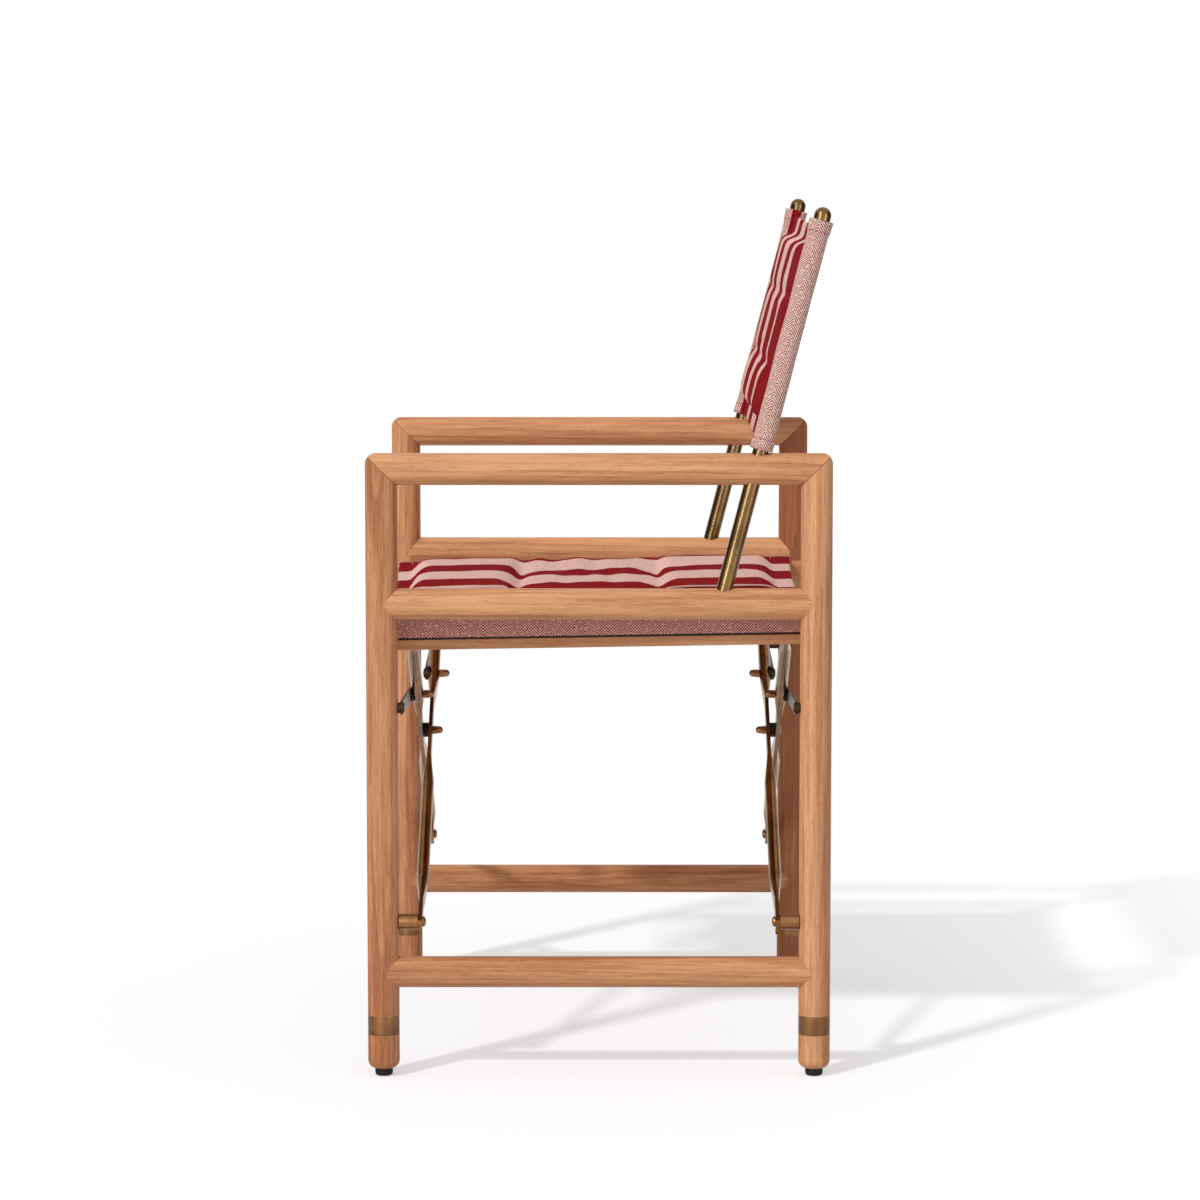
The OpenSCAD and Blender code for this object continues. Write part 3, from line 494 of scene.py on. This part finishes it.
def inflate(piece, held):
    """Blows the pad up with the cloth solver between its held points, by no more than PUFF."""
    group = piece.vertex_groups.new(name="held")
    for index in np.nonzero(held)[0]:
        group.add([int(index)], 1.0, "REPLACE")
    cloth = piece.modifiers.new("Cloth", "CLOTH")
    cloth.settings.quality = 5
    cloth.settings.mass = 0.2
    cloth.settings.tension_stiffness = 12
    cloth.settings.compression_stiffness = 12
    cloth.settings.shear_stiffness = 4
    cloth.settings.bending_stiffness = 0.4
    cloth.settings.use_pressure = True
    cloth.settings.uniform_pressure_force = 3.0
    cloth.settings.shrink_min = -0.03
    cloth.settings.vertex_group_mass = "held"
    cloth.settings.effector_weights.gravity = 0
    cloth.collision_settings.use_self_collision = False
    before = coordinates(piece.data)
    for frame_number in range(1, 21):
        scene.frame_set(frame_number)
    evaluated = piece.evaluated_get(bpy.context.evaluated_depsgraph_get())
    moved = coordinates(evaluated.data) - before
    scene.frame_set(1)
    piece.modifiers.clear()
    piece.vertex_groups.clear()
    far = np.linalg.norm(moved, axis=1)
    moved *= (np.minimum(far, PUFF) / np.maximum(far, 1e-9))[:, None]
    piece.data.vertices.foreach_set("co", (before + moved).ravel())
    piece.data.update()


def quilted(name, material, across, along, half, marks, surface):
    """A closed quilted pad. surface(u, v, side) gives the places of its front (side 1) and back (-1)."""
    u, v = (g.ravel() for g in np.meshgrid(across, along, indexing="ij"))
    wide, tall = len(across), len(along)
    points = np.vstack([surface(u, v, 1), surface(u, v, -1)])
    faces, count = [], wide * tall
    for i in range(wide - 1):
        for j in range(tall - 1):
            a, b, c, d = i * tall + j, (i + 1) * tall + j, (i + 1) * tall + j + 1, i * tall + j + 1
            faces += [(a, b, c, d), (count + a, count + d, count + c, count + b)]
    low_edge = [i * tall for i in range(wide - 1)]
    far_edge = [(wide - 1) * tall + j for j in range(tall - 1)]
    top_edge = [i * tall + tall - 1 for i in range(wide - 1, 0, -1)]
    rim = low_edge + far_edge + top_edge + list(range(tall - 1, 0, -1))
    for a, b in zip(rim, rim[1:] + rim[:1]):
        faces.append((b, a, count + a, count + b))
    flat = np.stack([u, v], 1)
    piece = piece_from(name, points, faces, np.vstack([flat, flat]), material)
    inflate(piece, np.tile(on_marks(v, marks) | ~filled(u, v, half, marks), 2))
    grid = coordinates(piece.data)[:count].reshape(wide, tall, 3)
    smooth = piece.modifiers.new("Smooth", "SUBSURF")
    smooth.levels = smooth.render_levels = 1
    return settle(piece), grid


def seam_lines(grid, along, marks):
    """The lines on the front of a pad where its seams run across the chair."""
    return [grid[:, k] for k in np.nonzero(on_marks(along, marks))[0]]


def seat_point(u, v, lift):
    """A place on the seat, lift above the rails' cloth."""
    hollow = 0.005
    bow = v * (1 - hollow / SEAT_FRONT * (1 - (u / SEAT_HALF) ** 2))
    return np.stack([u, bow, SEAT_BASE + lift + v * math.tan(SLOPE)], 1)


def make_seat():
    """The quilted seat between the rails: nearly level on top, while its hems sag between the rails."""
    half = SEAT_OPEN - 0.008
    under_half = half - 0.022
    hem_t = 0.003
    across = spread((-SEAT_HALF, -SEAT_OPEN, -half, 0, half, SEAT_OPEN, SEAT_HALF), PAD_STEP)
    along = spread((-SEAT_FRONT, *SEAT_MARKS, SEAT_REAR), PAD_STEP)
    second, third = SEAT_MARKS[1:3]

    def hem(u, v):
        """The cloth's sag between the rails, deeper at the front."""
        sag = 0.0095 - 0.014 * v
        return -sag * np.clip(1 - (np.abs(u) / SEAT_OPEN) ** 1.6, 0, None)

    def bottom(u, v):
        """Height of the underside, which is filled only well clear of the rails."""
        drop = along_channels(v, SEAT_MARKS, (0, -0.004, -0.004, 0), (-0.009, -0.009, -0.009))
        wide = np.where(filled(u, v, half, SEAT_MARKS), swell(u, -under_half, under_half, 6.0, 0.5), 0)
        return hem(u, v) + drop * wide

    def top(u, v):
        """Height of the top: channels that are low in the middle and full at their shoulders."""
        middle = along_channels(v, SEAT_MARKS, (-0.0075, 0.0004, -0.0002, -0.0035), (0.0105, 0.0046, 0.0076))
        rise = along_channels(v, SEAT_MARKS, (0.004, 0.0092, 0.0082, 0.004), (0.0012, 0.0042, 0.0032))
        shoulder = np.interp(np.abs(u), (0, 0.05, 0.085, 0.11, 0.14, 0.165, 0.2),
                             (0, 0, -0.3, -0.35, 0.45, 1, 1))
        waves = np.array([noise.noise((a * 16, b * 58, 1.5)) for a, b in zip(u, v)])
        waves *= np.interp(v, (second - 0.02, -0.06, 0.05, third + 0.02), (0.0006, 0.0028, 0.0028, 0.0006))
        left_up = 0.008 * np.clip(u, 0, 0.12)
        level = middle + shoulder * rise + waves - 0.0016 + left_up
        level += puckers(u, v, SEAT_MARKS, 0.009, 0.0009, 0.019)
        wide = np.where(filled(u, v, half, SEAT_MARKS), swell(u, -half, half, 14.0, 0.5), 0)
        return (hem_t + hem(u, v)) * (1 - wide) + level * wide

    def surface(u, v, side):
        return seat_point(u, v, top(u, v) if side > 0 else bottom(u, v))

    stripe = striped_cloth("seat_stripes")
    seat, grid = quilted("quilted_seat", stripe, across, along, half, SEAT_MARKS, surface)
    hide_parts("seat_panel")
    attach(seat, "left_rail")
    fold_seat(seat)
    side_hems = [grid[outer] * 0.45 + grid[inner] * 0.55 for outer, inner in ((0, 1), (-1, -2))]
    return seam_lines(grid, along, SEAT_MARKS) + side_hems


def fold_seat(piece):
    """Gives the piece a mesh of its own."""
    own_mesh(piece)


def on_the_back(u, w, v):
    """A place on the back: w behind the posts' middle plane and v up the sleeve from its lower end."""
    c, s = math.cos(RAKE), math.sin(RAKE)
    up = v + SLEEVE_BASE
    return np.stack([u, POST_Y + w * c + up * s, ARM_H - w * s + up * c], 1)


def make_back():
    """The quilted back between the two sleeves, a little shorter than they are."""
    half = BACK_HALF - 0.002
    edge_x = BACK_HALF + 0.0016
    hem_half_t = 0.0015
    across = spread((-edge_x, -half, 0, half, edge_x), PAD_STEP)
    along = spread((0.001, *BACK_MARKS, SLEEVE_L - 0.004), PAD_STEP)

    def surface(u, v, side):
        if side > 0:
            crowns, seams, edge = (0.0150, 0.0120, 0.0120), (0, 0.0108, 0.0110, 0), 0.0080
        else:
            crowns, seams, edge = (0.0105, 0.0145, 0.0150), (0, 0.0100, 0.0120, 0), 0.0065
        wide = np.where(filled(u, v, half, BACK_MARKS), swell(u, -half, half, 30.0, 0.42), 0)
        flank = np.clip((np.abs(u) / BACK_HALF) ** 5, 0, 1)
        level = along_channels(v, BACK_MARKS, seams, crowns)
        level = level * (1 - flank) + np.minimum(level, edge) * flank
        dents = np.exp(-((u - 0.112) / 0.03) ** 2) + 0.6 * np.exp(-((u + 0.06) / 0.04) ** 2)
        folds = puckers(u, v, BACK_MARKS, 0.012, 0.0009, 0.021)
        folds = (folds - 0.0018 * dents * np.clip((0.15 - v) / 0.02, 0, 1)) * (level > 0.002)
        dip = 0.003 * (1 - (u / BACK_HALF) ** 2) * np.clip((v - BACK_MARKS[-1]) / 0.02, 0, 1)
        return on_the_back(u, -side * (hem_half_t + (level + folds - hem_half_t) * wide), v - dip)

    stripe = striped_cloth("back_stripes")
    back, grid = quilted("quilted_back", stripe, across, along, half, BACK_MARKS, surface)
    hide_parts("back_panel")
    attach(back, "left_frame")
    fold_back(back)
    return seam_lines(grid, along, BACK_MARKS)


def fold_back(piece):
    """Gives the piece a mesh of its own."""
    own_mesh(piece)


def grid_faces(rows, count, closed, side):
    """Faces between rows of count points, which may close to a ring, turned outwards on either side."""
    faces = []
    for k in range(rows - 1):
        for j in range(count if closed else count - 1):
            a, b = k * count + j, k * count + (j + 1) % count
            faces.append((a, b, b + count, a + count) if side > 0 else (a + count, b + count, b, a))
    return faces


def walled(piece):
    """Gives a sheet its thickness, inwards."""
    wall = piece.modifiers.new("Wall", "SOLIDIFY")
    wall.thickness, wall.offset = SHEET_T, -1
    return settle(piece)


def make_sleeve(name, node, body, side, cloth):
    """A sleeve of herringbone cloth round a back post, hemmed at both ends."""
    hem_low, hem_high, hem_edge, hem_t = 0.0105, 0.0115, 0.001, 0.0008
    flare_l, flare_t = 0.012, 0.0007
    heights = spread((0, 0.011, 0.224, SLEEVE_L), 0.0035)
    turns = np.linspace(-math.pi, math.pi, 56, endpoint=False)
    rows, places = [], []
    for v in heights:
        low = 1 - (v - hem_low) / hem_edge
        high = 1 - (SLEEVE_L - hem_high - v) / hem_edge
        flare = max(0.0, v - SLEEVE_L + flare_l) / flare_l
        r = SLEEVE_R + hem_t * min(1.0, max(0.0, low, high)) + flare_t * flare
        soft = np.array([noise.noise((math.cos(a) + side * 5, math.sin(a), v * 24)) for a in turns])
        ring = r + 0.0005 * soft
        ragged = -0.00058 * soft if v == heights[-1] else 0.0
        rows.append(on_the_back(side * (SIDE_X + ring * np.cos(turns)), ring * np.sin(turns), v + ragged))
        places += [(SLEEVE_R * a, v) for a in turns]
    faces = grid_faces(len(rows), len(turns), True, side)
    sleeve = piece_from(name, np.vstack(rows), faces, places, cloth)
    close_round(sleeve.data.uv_layers["cloth"], sleeve.data, SLEEVE_GIRTH)
    walled(sleeve)
    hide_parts(node)
    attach(sleeve, body)
    lines = []
    for v in (0.0125, SLEEVE_L - 0.0130):
        row = rows[int(np.argmin(np.abs(heights - v)))]
        # The seam stops where the back begins
        lines.append(np.vstack([row[3:], row[:1]]))
    return lines


def close_round(layer, mesh, girth):
    """Lets the cloth map run on where a tube closes, so that it doesn't run back across it."""
    flat = np.zeros(len(mesh.loops) * 2, np.float32)
    layer.data.foreach_get("uv", flat)
    flat = flat.reshape(-1, 2)
    for face in mesh.polygons:
        corners = list(face.loop_indices)
        if np.ptp(flat[corners, 0]) > girth / 2:
            flat[[c for c in corners if flat[c, 0] < 0], 0] += girth
    layer.data.foreach_set("uv", flat.ravel())


def make_seat_edge(name, node, body, side, cloth):
    """The herringbone band up a seat rail's outer face and over its top."""
    round_r = RAIL_ROUND + CLOTH_T
    face_x = RAIL_FACE + CLOTH_GAP + CLOTH_T
    top_z = RAIL_TOP + CLOTH_GAP + CLOTH_T
    cut_z = 0.0011
    x0, z0 = face_x - round_r, top_z - round_r
    profile = [(face_x, z) for z in np.linspace(cut_z, z0, 9)]
    profile += [(x0 + round_r * math.cos(a), z0 + round_r * math.sin(a))
                for a in np.linspace(0, math.pi / 2, 9)[1:]]
    profile += [(x, top_z) for x in np.linspace(x0, RAIL_FACE - RAIL_T + RAIL_ROUND, 6)[1:]]
    profile = np.array(profile)
    girth = np.concatenate([[0], np.cumsum(np.linalg.norm(np.diff(profile, axis=0), axis=1))])
    lengths = spread((-SEAT_FRONT, SEAT_REAR), 0.004)
    points, places = [], []
    c, s = math.cos(SLOPE), math.sin(SLOPE)
    for y in lengths:
        for (x, z), g in zip(profile, girth):
            soft = 0.0003 * noise.noise((y * 60, g * 80, side * 4))
            points.append((side * (PIVOT_X + x + soft), y * c - z * s, PIVOT_H + z * c + y * s))
            places.append((y, g))
    faces = grid_faces(len(lengths), len(profile), False, -side)
    band = walled(piece_from(name, points, faces, places, cloth))
    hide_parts(node)
    SEAT_FRONT + SEAT_REAR
    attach(band, body)


def stitch_tree():
    """Geometry nodes that lay stitches along the piece's edges."""
    tree = bpy.data.node_groups.new("stitches", "GeometryNodeTree")
    tree.is_modifier = True
    face = tree.interface
    face.new_socket("Lines", in_out="INPUT", socket_type="NodeSocketGeometry")
    for name in ("Pitch", "Stitch length", "Thickness"):
        face.new_socket(name, in_out="INPUT", socket_type="NodeSocketFloat")
    face.new_socket("Thread", in_out="INPUT", socket_type="NodeSocketMaterial")
    face.new_socket("Stitches", in_out="OUTPUT", socket_type="NodeSocketGeometry")

    def add(kind, **sockets):
        step = tree.nodes.new(kind)
        for name, value in sockets.items():
            socket = step.inputs[name.replace("_", " ")]
            if isinstance(value, bpy.types.NodeSocket):
                tree.links.new(value, socket)
            else:
                socket.default_value = value
        return step

    given = tree.nodes.new("NodeGroupInput").outputs
    curve = add("GeometryNodeMeshToCurve", Mesh=given["Lines"])
    even = add("GeometryNodeResampleCurve", Curve=curve.outputs[0])
    even.mode = "LENGTH"
    tree.links.new(given["Pitch"], even.inputs["Length"])
    size = tree.nodes.new("ShaderNodeCombineXYZ")
    tree.links.new(given["Thickness"], size.inputs[0])
    tree.links.new(given["Thickness"], size.inputs[1])
    tree.links.new(given["Stitch length"], size.inputs[2])
    ball = add("GeometryNodeMeshUVSphere", Segments=6, Rings=5, Radius=0.5)
    tangent = tree.nodes.new("GeometryNodeInputTangent")
    turn = tree.nodes.new("FunctionNodeAlignRotationToVector")
    turn.axis = "Z"
    tree.links.new(tangent.outputs[0], turn.inputs["Vector"])
    laid = add("GeometryNodeInstanceOnPoints", Points=even.outputs[0], Instance=ball.outputs[0],
               Rotation=turn.outputs[0], Scale=size.outputs[0])
    real = add("GeometryNodeRealizeInstances", Geometry=laid.outputs[0])
    painted = add("GeometryNodeSetMaterial", Geometry=real.outputs[0], Material=given["Thread"])
    tree.links.new(painted.outputs[0], tree.nodes.new("NodeGroupOutput").inputs[0])
    return tree


def make_stitches(name, lines, body, tree, yarn):
    """A row of stitches on each line, as one piece."""
    points, edges = [], []
    for line in lines:
        start = len(points)
        points += [tuple(p) for p in line]
        edges += [(start + k, start + k + 1) for k in range(len(line) - 1)]
    mesh = bpy.data.meshes.new(name)
    mesh.from_pydata(points, edges, [])
    piece = bpy.data.objects.new(name, mesh)
    scene.collection.objects.link(piece)
    sewing = piece.modifiers.new("Sewing", "NODES")
    sewing.node_group = tree
    values = {"Pitch": 0.0042, "Stitch length": 0.0031, "Thickness": 0.0009, "Thread": yarn}
    for socket in tree.interface.items_tree:
        if socket.in_out == "INPUT" and socket.name in values:
            sewing[socket.identifier] = values[socket.name]
    settle(piece)
    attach(piece, body)
    return piece


def emptied(owner):
    """A maker for a world's or a material's own nodes, with none in it yet."""
    owner.use_nodes = True
    owner.node_tree.nodes.clear()
    return Maker(owner.node_tree)


def white_surround():
    """White where the camera or gloss sees it, and half as bright as a light."""
    scene.world = bpy.data.worlds.new("white_surround")
    maker = emptied(scene.world)
    light = maker.add("ShaderNodeBackground", None, {0: (1, 1, 1, 1), 1: 0.5})[0]
    sight = maker.add("ShaderNodeBackground", None, {0: (1, 1, 1, 1), 1: 1.0})[0]
    mixed = maker.add("ShaderNodeMixShader", None, {0: seen_rays(maker), 1: light, 2: sight})[0]
    maker.add("ShaderNodeOutputWorld", None, {0: mixed})


def white_floor():
    """A white floor on which the shadow fades away to the right, because the floor glows for the camera and
    in gloss more brightly there: painted light.
    """
    reach = 30
    paper = bpy.data.materials.new("white_floor")
    maker = emptied(paper)
    matt = maker.add("ShaderNodeBsdfDiffuse", None, {0: (0.715, 0.72, 0.73, 1)})[0]
    y = maker.parts(maker.add("ShaderNodeTexCoord")[3])[1]
    # Painted light: the glow rises to the right and washes out the shadow there.
    level = 0.42 + y.between(0.2, 1.3) * 0.32
    glow = maker.add("ShaderNodeEmission", None, {0: (1, 1, 1, 1), 1: seen_rays(maker) * level})[0]
    both = maker.add("ShaderNodeAddShader", None, {0: matt, 1: glow})[0]
    maker.add("ShaderNodeOutputMaterial", None, {0: both})
    corners = [(-reach, -reach, 0), (reach, -reach, 0), (reach, reach, 0), (-reach, reach, 0)]
    piece_from("floor", corners, [(0, 1, 2, 3)], None, paper, smooth=False)


def lights():
    """The sun, a soft lamp by the camera, two strips that show in the brass, and a dark card beside each."""
    sun = bpy.data.lights.new("sun", "SUN")
    sun.energy = 1.45
    sun.angle = math.radians(4.5)
    lamp = bpy.data.objects.new("sun", sun)
    lamp.rotation_euler = Vector((-0.88, 0.73, -1.0)).to_track_quat("-Z", "Y").to_euler()
    scene.collection.objects.link(lamp)
    lamp_at("fill", (4.4, -1.4, 1.5), (2.0, 2.0), 21)
    for name, place, power in (("left_strip", (2.3, -1.27, 0.8), 36), ("right_strip", (2.0, 1.72, 0.8), 20)):
        lamp_at(name, place, (0.22, 2.2), power).visible_diffuse = False
    for name, side in (("left_flag", -1), ("right_flag", 1)):
        dark_flag(name, side)


def dark_flag(name, side):
    """A dark studio card beside the chair, which shows only in gloss and gives the brass its dark edges."""
    near_y, far_y, height = side * 1.9, side * 1.7, 2.2
    felt = bpy.data.materials.new(name)
    maker = emptied(felt)
    nap = maker.clouds(maker.add("ShaderNodeTexCoord")[3], 40.0)[0]
    grey = maker.mix(nap, tone(120, 114, 108), tone(136, 130, 124))
    matt = maker.add("ShaderNodeBsdfDiffuse", None, {0: grey})[0]
    maker.add("ShaderNodeOutputMaterial", None, {0: matt})
    corners = [(-1.4, far_y, 0), (1.0, near_y, 0), (1.0, near_y, height), (-1.4, far_y, height)]
    card = piece_from(name, corners, [(0, 1, 2, 3)], None, felt, smooth=False)
    card.visible_camera = card.visible_diffuse = card.visible_shadow = card.visible_transmission = False


def lamp_at(name, place, size, power):
    """A rectangular lamp that faces the chair."""
    light = bpy.data.lights.new(name, "AREA")
    light.shape = "RECTANGLE"
    light.size, light.size_y = size
    light.energy = power
    lamp = bpy.data.objects.new(name, light)
    lamp.location = place
    lamp.rotation_euler = (Vector((0, 0, 0.6)) - Vector(place)).to_track_quat("-Z", "Y").to_euler()
    scene.collection.objects.link(lamp)
    return lamp


def seen_rays(maker):
    """1 for rays that show the surround: the camera's, and those in gloss or glass."""
    names = ("Is Camera Ray", "Is Glossy Ray", "Is Transmission Ray")
    outputs = {field.socket.name: field for field in maker.add("ShaderNodeLightPath")}
    camera, glossy, through = (outputs[name] for name in names)
    return camera.math("MAXIMUM", glossy).math("MAXIMUM", through)


def place_camera():
    """The photograph's camera, low beside the chair and far off."""
    data = bpy.data.cameras.new("camera")
    data.sensor_width = 36
    data.lens = 129.15
    camera = bpy.data.objects.new("camera", data)
    camera.location = (4.5604, 0.0058, 0.9487)
    camera.rotation_euler = Vector((-0.99417, -0.0011, -0.10779)).to_track_quat("-Z", "Y").to_euler()
    scene.collection.objects.link(camera)
    scene.camera = camera


place_camera()
dress_frame()
# The seat bands' herringbone has darker tones than the sleeves': painted shade, as the bands lie under the
# side rails.
shaded_band_herringbone = herringbone_cloth("herringbone", (tone(250, 200, 184), tone(222, 126, 112), tone(96, 18, 18)))
pale = (tone(255, 234, 220), tone(238, 148, 132), tone(122, 20, 24))
lined = herringbone_cloth("herringbone_lined", pale, lining_from=0.0291)
sewing = stitch_tree()
pink_yarn = thread("pink_thread", tone(196, 134, 124), tone(232, 180, 168))
red_yarn = thread("red_thread", tone(120, 18, 24), tone(168, 44, 46))
seat_lines = make_seat()
back_lines = make_back()
for word, side in (("left", 1), ("right", -1)):
    hems = make_sleeve(word + "_post_sleeve", word + "_back_sleeve", word + "_frame", side, lined)
    make_stitches(word + "_sleeve_stitches", hems, word + "_frame", sewing, red_yarn)
    make_seat_edge(word + "_seat_band", word + "_seat_sleeve", word + "_rail", side, shaded_band_herringbone)
fold_seat(make_stitches("seat_stitches", seat_lines, "left_rail", sewing, pink_yarn))
fold_back(make_stitches("back_stitches", back_lines, "left_frame", sewing, pink_yarn))
white_surround()
white_floor()
lights()
scene.view_settings.view_transform = "Standard"
